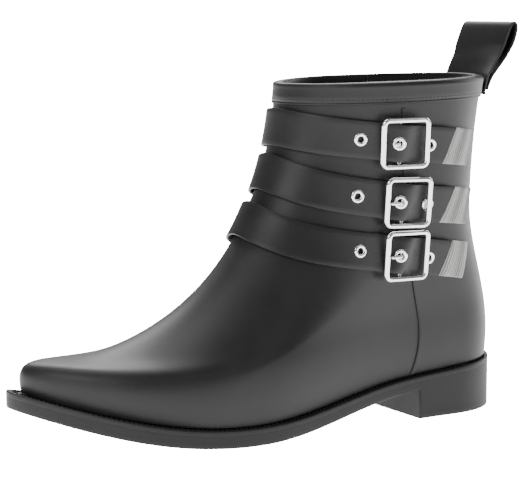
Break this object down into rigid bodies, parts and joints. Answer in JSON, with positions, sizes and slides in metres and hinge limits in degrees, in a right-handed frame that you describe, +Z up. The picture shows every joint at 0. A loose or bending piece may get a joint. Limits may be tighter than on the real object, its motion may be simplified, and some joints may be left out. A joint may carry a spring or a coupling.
{
  "type": "ankle rain boot",
  "caption": "Left ankle rain boot of moulded rubber with a low heel, buckled ankle straps, elastic strap ends and a pull loop at the back.",
  "frame": {"origin": "centre of the boot's box, on the ground that the ball of the sole and the heel stand on", "axes": "-X towards the toe, +X towards the heel, -Y towards the outer side with the buckles, +Z up"},
  "size_m": [0.2906, 0.0984, 0.2127],
  "materials": {
    "upper_rubber": "matte, finely grained moulded surface",
    "sole_rubber": "matte moulded rubber",
    "welt_rubber": "matte moulded rubber with a stitch-like pattern",
    "strap_rubber": "satin die-cut rubber",
    "trim_rubber": "satin moulded rubber",
    "loop_rubber": "satin rubber strip",
    "nickel_plate": "polished plated zinc",
    "elastic_webbing": "ribbed elastic with a metallic thread",
    "knit_lining": "fine jersey knit",
    "footbed_cloth": "brushed cloth on foam",
    "woven_tape": "plain woven tape",
    "stiffener_canvas": "rubberised canvas",
    "fibre_board": "pressed cellulose board",
    "heel_filler": "sawn hardwood",
    "spring_steel": "rolled steel strip"
  },
  "bodies": {
    "boot": {"outsole": "sole_rubber", "heel_core": "heel_filler", "welt": "welt_rubber", "shank": "spring_steel", "insole_board": "fibre_board", "footbed": "footbed_cloth", "vamp": "upper_rubber", "quarter": "upper_rubber", "toe_puff": "stiffener_canvas", "heel_counter": "stiffener_canvas", "lining": "knit_lining", "lateral_seam_strip": "trim_rubber", "medial_seam_strip": "trim_rubber", "collar_binding": "trim_rubber", "loop_backing_tape": "woven_tape", "wrap_strap_1": "strap_rubber", "wrap_strap_2": "strap_rubber", "wrap_strap_3": "strap_rubber", "buckle_chape_1": "strap_rubber", "buckle_chape_2": "strap_rubber", "buckle_chape_3": "strap_rubber", "eyelets_1": "nickel_plate", "eyelets_2": "nickel_plate", "eyelets_3": "nickel_plate", "elastic_tab_1": "elastic_webbing", "elastic_tab_2": "elastic_webbing", "elastic_tab_3": "elastic_webbing", "loop_front_end": "loop_rubber", "loop_back_end": "loop_rubber"},
    "buckle_1": {"buckle_frame_1": "nickel_plate"},
    "prong_1": {"buckle_prong_1": "nickel_plate"},
    "buckle_2": {"buckle_frame_2": "nickel_plate"},
    "prong_2": {"buckle_prong_2": "nickel_plate"},
    "buckle_3": {"buckle_frame_3": "nickel_plate"},
    "prong_3": {"buckle_prong_3": "nickel_plate"},
    "pull_loop": {"pull_loop": "loop_rubber"}
  },
  "joints": [
    {"name": "buckle_1_tilt", "type": "hinge", "parent": "boot", "child": "buckle_1", "pos_m": [0.0519, -0.04062, 0.15063], "axis": [-0.0238, -0.0937, 0.9953], "range_deg": [-1.5, 1.5]},
    {"name": "prong_1_lift", "type": "hinge", "parent": "buckle_1", "child": "prong_1", "pos_m": [0.0519, -0.04062, 0.15063], "axis": [-0.0238, -0.0937, 0.9953], "range_deg": [0, 5]},
    {"name": "buckle_2_tilt", "type": "hinge", "parent": "boot", "child": "buckle_2", "pos_m": [0.05541, -0.03831, 0.11935], "axis": [0.0163, -0.0814, 0.9965], "range_deg": [-1.5, 1.5]},
    {"name": "prong_2_lift", "type": "hinge", "parent": "buckle_2", "child": "prong_2", "pos_m": [0.05541, -0.03831, 0.11935], "axis": [0.0163, -0.0814, 0.9965], "range_deg": [0, 5]},
    {"name": "buckle_3_tilt", "type": "hinge", "parent": "boot", "child": "buckle_3", "pos_m": [0.05613, -0.03606, 0.09088], "axis": [0.0193, -0.0749, 0.997], "range_deg": [-1.5, 1.5]},
    {"name": "prong_3_lift", "type": "hinge", "parent": "buckle_3", "child": "prong_3", "pos_m": [0.05613, -0.03606, 0.09088], "axis": [0.0193, -0.0749, 0.997], "range_deg": [0, 5]},
    {"name": "pull_loop_bend", "type": "hinge", "parent": "boot", "child": "pull_loop", "pos_m": [0.12828, 0.00413, 0.184], "axis": [0, 1, 0], "range_deg": [-20, 20], "stiffness_Nm_per_rad": 0.15}
  ]
}
